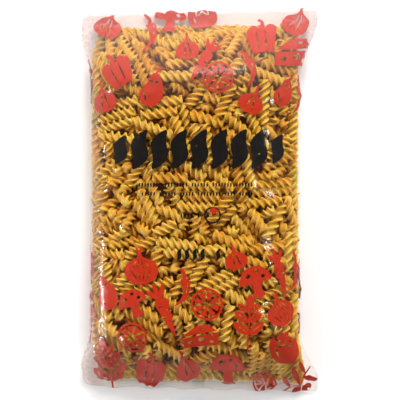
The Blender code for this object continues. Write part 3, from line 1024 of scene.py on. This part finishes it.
def scatter_motifs(draw):
    """Flat points and triangles of each red figure, spread over the bag's two printed bands."""
    flats = [flat_shape(maker(), MESH_STEP / size) for maker, size in MOTIFS]
    edges = [outline_points(places) for places, _ in flats]
    tube = 2 * FLAT_WIDTH
    taken, kinds = np.zeros((0, 2)), np.zeros(0, int)
    placed = []
    for low, high, tries in MOTIF_BANDS:
        for _ in range(tries):
            kind = int(draw.integers(len(MOTIFS)))
            size = MOTIFS[kind][1] * draw.uniform(*MOTIF_SIZES)
            turn = math.radians(draw.uniform(-MOTIF_TURN, MOTIF_TURN))
            s, y = draw.uniform(-tube / 2, tube / 2), draw.uniform(low, high)
            rim = turned(edges[kind], size, turn, s, y)
            if rim[:, 1].min() < low or rim[:, 1].max() > high or meets_a_row(rim):
                continue
            if abs(y) > EAR_START and abs(s) > HALF_TUBE - EAR_EDGE:
                continue
            near = np.abs(taken[:, 1] - y) < SAME_MOTIF_GAP + size
            others, their_kinds = taken[near], kinds[near]
            across = (rim[:, None, 0] - others[None, :, 0] + tube / 2) % tube - tube / 2
            gap = np.hypot(across, rim[:, None, 1] - others[None, :, 1])
            same_gap = gap[:, their_kinds == kind]
            if gap.min(initial=1.0) < MOTIF_GAP or same_gap.min(initial=1.0) < SAME_MOTIF_GAP:
                continue
            taken = np.concatenate([taken, rim])
            kinds = np.concatenate([kinds, np.full(len(rim), kind)])
            placed.append((turned(flats[kind][0], size, turn, s, y), flats[kind][1]))
    return placed


def outline_points(places):
    """Evenly spaced points round a flat shape, through those that reach farthest from its middle."""
    found = []
    for turn in np.arange(MOTIF_RIM) / MOTIF_RIM * math.tau:
        along = places @ (math.cos(turn), math.sin(turn))
        off = np.abs(places @ (-math.sin(turn), math.cos(turn)))
        found.append(int(np.argmax(along - 2.5 * off)))
    return resample(places[found + found[:1]], 2 * MOTIF_RIM)[0][:-1]


def joined_print(name, shapes, film_map, material):
    """One mesh of flat shapes laid on the inside of the film."""
    points, faces, count = [], [], 0
    for places, triangles in shapes:
        on_film = np.abs(places[:, 1]) < HALF_LENGTH
        triangles = triangles[on_film[triangles].any(axis=1)]
        points.append(film_map.place(places[:, 0], places[:, 1], PRINT_DEPTH))
        faces.append(triangles + count)
        count += len(places)
    return mesh_object(name, np.concatenate(points), np.concatenate(faces), material)


def red_print(film_map, material, draw):
    """The red food figures, and a sector of the dial."""
    shapes = scatter_motifs(draw)
    sector = [(0.0, 0.0), *[(math.sin(a), math.cos(a)) for a in np.radians(np.arange(-20, 56, 15))]]
    places, triangles = flat_shape(painted(sector), MESH_STEP / DIAL_RADIUS)
    shapes.append((turned(places, DIAL_RADIUS * 0.92, 0.0, DIAL_X, DIAL_Y), triangles))
    return joined_print("print_red", shapes, film_map, material)


def twist_blade(x, y, tall, width):
    """Outline of one leaning S-shaped blade."""
    sides = ([], [])
    for k in range(TWIST_STEPS + 1):
        share = k / TWIST_STEPS
        centre = x + TWIST_LEAN * tall * (share - 0.5) + TWIST_BEND * tall * math.sin(math.tau * share)
        half = width / 2 * math.sin(math.pi * share) ** 0.55
        sides[0].append((centre + half, y + tall * (share - 0.5)))
        sides[1].append((centre - half, y + tall * (share - 0.5)))
    return sides[0] + sides[1][-2:0:-1]


def twist_sign():
    """A bold drawn spiral: S-shaped blades in a row, shorter at its ends."""
    blades = []
    pitch = (TWIST_X[1] - TWIST_X[0]) / TWIST_BLADES
    for k in range(TWIST_BLADES):
        inner = 0 < k < TWIST_BLADES - 1
        tall, width = TWIST_HEIGHT * TWIST_TALL[inner], pitch * TWIST_WIDE[inner]
        blades.append(twist_blade(TWIST_X[0] + pitch * (k + 0.5), TWIST_Y, tall, width))
    return painted(*blades)


def hatch_rows(rows, draw):
    """Small leaning strokes in groups, for rows of (left, right, y, height)."""
    strokes = []
    for left, right, y, height in rows:
        x = left + height * STROKE_INSET
        group = int(draw.integers(*GROUPS))
        while x < right - height * STROKE_INSET:
            strokes.append(twist_blade(x, y, height, height * STROKE_WIDTH))
            group -= 1
            x += height * (STROKE_PITCH if group else GROUP_PITCH)
            group = group or int(draw.integers(*GROUPS))
    return strokes


def black_print(film_map, material, draw):
    """The black signs: a drawn spiral, rows of small strokes and a dial."""
    rim, face = (circle(DIAL_X, DIAL_Y, DIAL_RADIUS * share) for share in (1.0, 0.80))
    hands = [bar(DIAL_X, DIAL_Y, DIAL_X + x, DIAL_Y + y, HAND_WIDTH) for x, y in DIAL_HANDS]
    dial = painted(rim) + cleared(face) + painted(*hands)
    strokes = [painted(stroke) for stroke in hatch_rows(FRONT_ROWS + BACK_ROWS, draw)]
    shapes = [flat_shape(layers, MESH_STEP) for layers in (twist_sign(), dial, *strokes)]
    return joined_print("print_black", shapes, film_map, material)


def empty_material(name):
    """A new material whose node tree is empty, and that tree."""
    made = bpy.data.materials.new(name)
    made.use_nodes = True
    made.node_tree.nodes.clear()
    return made, made.node_tree


def add(tree, kind, inputs=None, **settings):
    """A new node. An input takes a value, another node's output, or a node for its first output in use."""
    node = tree.nodes.new("ShaderNode" + kind)
    for name, value in settings.items():
        setattr(node, name, value)
    for name, value in (inputs or {}).items():
        if isinstance(value, bpy.types.Node):
            value = next(output for output in value.outputs if output.enabled)
        if isinstance(value, bpy.types.NodeSocket):
            tree.links.new(value, node.inputs[name])
        else:
            node.inputs[name].default_value = value
    return node


def noise(tree, scale, detail, roughness=0.5):
    """Soft random values that stay with the object."""
    place = add(tree, "TexCoord").outputs["Object"]
    return add(tree, "TexNoise", {"Vector": place, "Scale": scale, "Detail": detail, "Roughness": roughness})


def grey(shade):
    """A colour without hue."""
    return (shade, shade, shade)


def ramp(tree, source, *stops):
    """A colour ramp fed by a value; each stop is (place, colour)."""
    node = add(tree, "ValToRGB", {"Fac": source})
    elements = node.color_ramp.elements
    while len(elements) < len(stops):
        elements.new(0.5)
    for element, (place, colour) in zip(elements, stops):
        element.position = place
        element.color = (*colour, 1.0)
    return node


def multiplied(tree, one, other):
    """The product of two colours."""
    return add(tree, "Mix", {"Factor": 1.0, "A": one, "B": other}, data_type="RGBA", blend_type="MULTIPLY")


def pasta_material(name, dark, middle, light):
    """Dried semolina: warm gold that varies from piece to piece, with a fine grain, and painted shade that
    darkens it with its depth below the film.
    """
    made, tree = empty_material(name)
    patches = noise(tree, PATCH_SCALE, 3.0)
    within = add(tree, "Math", {0: patches, 1: 1 - PIECE_VARIETY}, operation="MULTIPLY")
    piece = add(tree, "NewGeometry").outputs["Random Per Island"]
    blend = add(tree, "Math", {0: piece, 1: PIECE_VARIETY, 2: within}, operation="MULTIPLY_ADD")
    surface = ramp(tree, blend, (0.15, dark), (0.45, middle), (0.85, light))
    depth = add(tree, "Attribute", attribute_name="depth").outputs["Fac"]
    grain = noise(tree, GRAIN_SCALE, 2.0)
    smoothest, roughest = PASTA_ROUGHNESS
    shader = add(tree, "BsdfPrincipled", {
        # painted shade: the colour darkens with the depth attribute, towards the tint of the deepest spirals
        "Base Color": multiplied(tree, surface, ramp(tree, depth, (0.1, grey(1.0)), (1.0, PAINTED_SHADE_TINT))),
        "Roughness": add(tree, "MapRange", {"Value": grain, "To Min": smoothest, "To Max": roughest}),
        "Normal": add(tree, "Bump", {"Height": grain, "Strength": 0.25, "Distance": 0.0002}),
        "Specular IOR Level": 0.12,
        "Subsurface Weight": 0.75,
        "Subsurface Radius": (0.0050, 0.0022, 0.0004),
        "Subsurface Scale": 0.8,
    })
    add(tree, "OutputMaterial", {"Surface": shader})
    return made


def film_material():
    """Clear glossy film: mirror-like at a slant, with a faint milky haze where it is off the pasta. Its haze
    value also whitens it as a painted sheen and darkens its clear colour as painted shade.
    """
    made, tree = empty_material("clear_film")
    uneven = noise(tree, CRINKLE_SCALE, 4.0, 0.6)
    crinkles = add(tree, "Bump", {"Height": uneven, "Strength": 0.35, "Distance": 0.0006})
    back = add(tree, "NewGeometry").outputs["Backfacing"]
    front = add(tree, "Math", {0: 1.0, 1: back}, operation="SUBTRACT")
    mirror = add(tree, "Fresnel", {"IOR": FILM_IOR, "Normal": crinkles})
    shine = add(tree, "Math", {0: mirror, 1: front}, operation="MULTIPLY")
    gloss = add(tree, "BsdfGlossy", {"Color": (*grey(1.0), 1.0), "Roughness": 0.10, "Normal": crinkles})
    haze_and_painted_light = add(tree, "Attribute", attribute_name="haze_and_painted_light").outputs["Fac"]
    # the haze value darkens the clear colour as painted shade and adds milk that is partly a painted sheen
    clear = add(tree, "BsdfTransparent", {"Color": ramp(tree, haze_and_painted_light, *FILM_TINTS_AND_SHADE)})
    milk_and_sheen = add(tree, "BsdfDiffuse", {"Color": (0.86, 0.82, 0.80, 1.0)})
    haze_and_sheen = add(tree, "MapRange", {"Value": haze_and_painted_light, "To Min": FILM_MILK_AND_SHEEN[0], "To Max": FILM_MILK_AND_SHEEN[1]})
    body = add(tree, "MixShader", {0: haze_and_sheen, 1: clear, 2: milk_and_sheen})
    add(tree, "OutputMaterial", {"Surface": add(tree, "MixShader", {0: shine, 1: body, 2: gloss})})
    return made


def mottled_material(name, spots, dark, light, finish):
    """A material whose colour varies a little between two; spots are its noise's scale and detail."""
    made, tree = empty_material(name)
    colour = ramp(tree, noise(tree, *spots), (0.3, dark), (0.7, light))
    add(tree, "OutputMaterial", {"Surface": add(tree, "BsdfPrincipled", {"Base Color": colour, **finish})})
    return made


def make_core(material):
    """A dark body inside the shown spirals, so that no light comes through from below; its darker golds are
    painted shade in the gaps between them.
    """
    angles = np.linspace(0, math.tau, CORE_SIDES + 1)[:-1]
    rings = []
    for y in np.linspace(PASTA_BOTTOM + CORE_INSET, PASTA_TOP - CORE_INSET, CORE_RINGS):
        ring = skin_points(angles, np.full_like(angles, y))
        middle = ring.mean(axis=0)
        away = ring - middle
        run = lengths(away[:, (0, 2)])
        away[:, (0, 2)] *= (np.maximum(run - CORE_INSET, CORE_LEAST * run) / run)[:, None]
        ring = middle + away
        ring[:, 1] = y
        ring[:, 2] = np.maximum(ring[:, 2], CORE_INSET * CORE_LIFT)
        rings.append(ring)
    return mesh_object("pasta_core", np.concatenate(rings), tube_faces(CORE_RINGS, CORE_SIDES), material)


def make_floor():
    """The pale surface that the bag lies on."""
    corners = np.array([(-1, -1, 0), (1, -1, 0), (1, 1, 0), (-1, 1, 0)], float)
    pale = mottled_material("pale_floor", FLOOR_SPOTS, grey(0.95), grey(0.97), {"Roughness": 0.8})
    floor = mesh_object("floor", corners * FLOOR_SIZE, [[0, 1, 2, 3]], pale)


def area_light(name, place, size, power, mirrored_only):
    """A soft light that faces the bag: one that only the film mirrors, or one that it doesn't mirror."""
    light = bpy.data.lights.new(name, "AREA")
    light.shape = "RECTANGLE"
    light.size, light.size_y = size
    light.energy = power
    made = bpy.data.objects.new(name, light)
    made.location = place
    made.visible_diffuse = not mirrored_only
    made.visible_glossy = mirrored_only
    made.rotation_euler = (Vector((0, 0, CROWN_HEIGHT)) - Vector(place)).to_track_quat("-Z", "Y").to_euler()
    bpy.context.scene.collection.objects.link(made)


def light_stage():
    """Soft light from all round, and softboxes that draw the film's highlights."""
    world = bpy.data.worlds.new("studio")
    world.use_nodes = True
    tree = world.node_tree
    split = add(tree, "SeparateXYZ", {0: add(tree, "TexCoord").outputs["Generated"]})
    height = ramp(tree, split.outputs["Z"], *[(place, grey(shade)) for place, shade in SKY_UP])
    span = add(tree, "MapRange", {"Value": split.outputs["Y"], "From Min": -1.0})
    along = ramp(tree, span, *[(place, grey(shade)) for place, shade in SKY_ALONG])
    glow = tree.nodes["Background"].inputs
    glow["Strength"].default_value = SKY_STRENGTH
    tree.links.new(multiplied(tree, height, along).outputs["Result"], glow["Color"])
    bpy.context.scene.world = world
    for light in LIGHTS:
        area_light(*light)


def make_camera():
    """Straight above the bag, as the photo faces it, from far off."""
    lens = bpy.data.cameras.new("camera")
    lens.sensor_width = 36.0
    lens.lens = lens.sensor_width * (CAMERA_HEIGHT - HIGH.z / 2) / (PIXELS * PIXEL)
    lens.clip_end = 20.0
    camera = bpy.data.objects.new("camera", lens)
    camera.location = (0.0, 0.0, CAMERA_HEIGHT)
    bpy.context.scene.collection.objects.link(camera)
    bpy.context.scene.camera = camera


def main():
    """Makes the pieces and says what they ride on and replace."""
    draw = np.random.default_rng(PASTA_SEED)
    gold = pasta_material("dried_pasta", *GOLDS)
    start, end = settle_spirals(draw)
    middle = (start + end) / 2
    depth = depth_below_skin(middle)
    near, shown = depth < NEAR_DEPTH, depth < SHOWN_DEPTH
    in_front = middle[:, 2] > FRONT_HEIGHT
    groups = (  # name, which spirals, rings and points a blade
        ("spirals_front", near & in_front, 24, 6),
        ("spirals_back", near & ~in_front, 20, 6),
        ("spirals_inner", shown & ~near, 16, 4),
    )
    pasta = [make_spirals(name, start[mask], end[mask], steps, points, gold, draw)
             for name, mask, steps, points in groups]
    clear = film_material()
    film, film_map = make_film(start, end, clear, draw)
    seam = make_back_seam(film_map, clear)
    draw = np.random.default_rng(PRINT_SEED)
    red = red_print(film_map, mottled_material("red_ink", INK_SPOTS, *REDS, INK_FINISH), draw)
    black = black_print(film_map, mottled_material("black_ink", INK_SPOTS, *BLACKS, INK_FINISH), draw)
    # the core's darker golds are painted shade, seen in the gaps between the spirals
    core = make_core(pasta_material("painted_shade_pasta", *PAINTED_SHADE_GOLDS))
    slots = [(piece, "pasta") for piece in (*pasta, core)]
    slots += [(film, "film"), (seam, "film"), (red, "print_red"), (black, "print_black")]
    for piece, slot in slots:
        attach(piece, "root")
        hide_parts("packet")


bpy.context.scene.view_settings.view_transform = "Standard"
make_camera()
light_stage()
make_floor()
main()
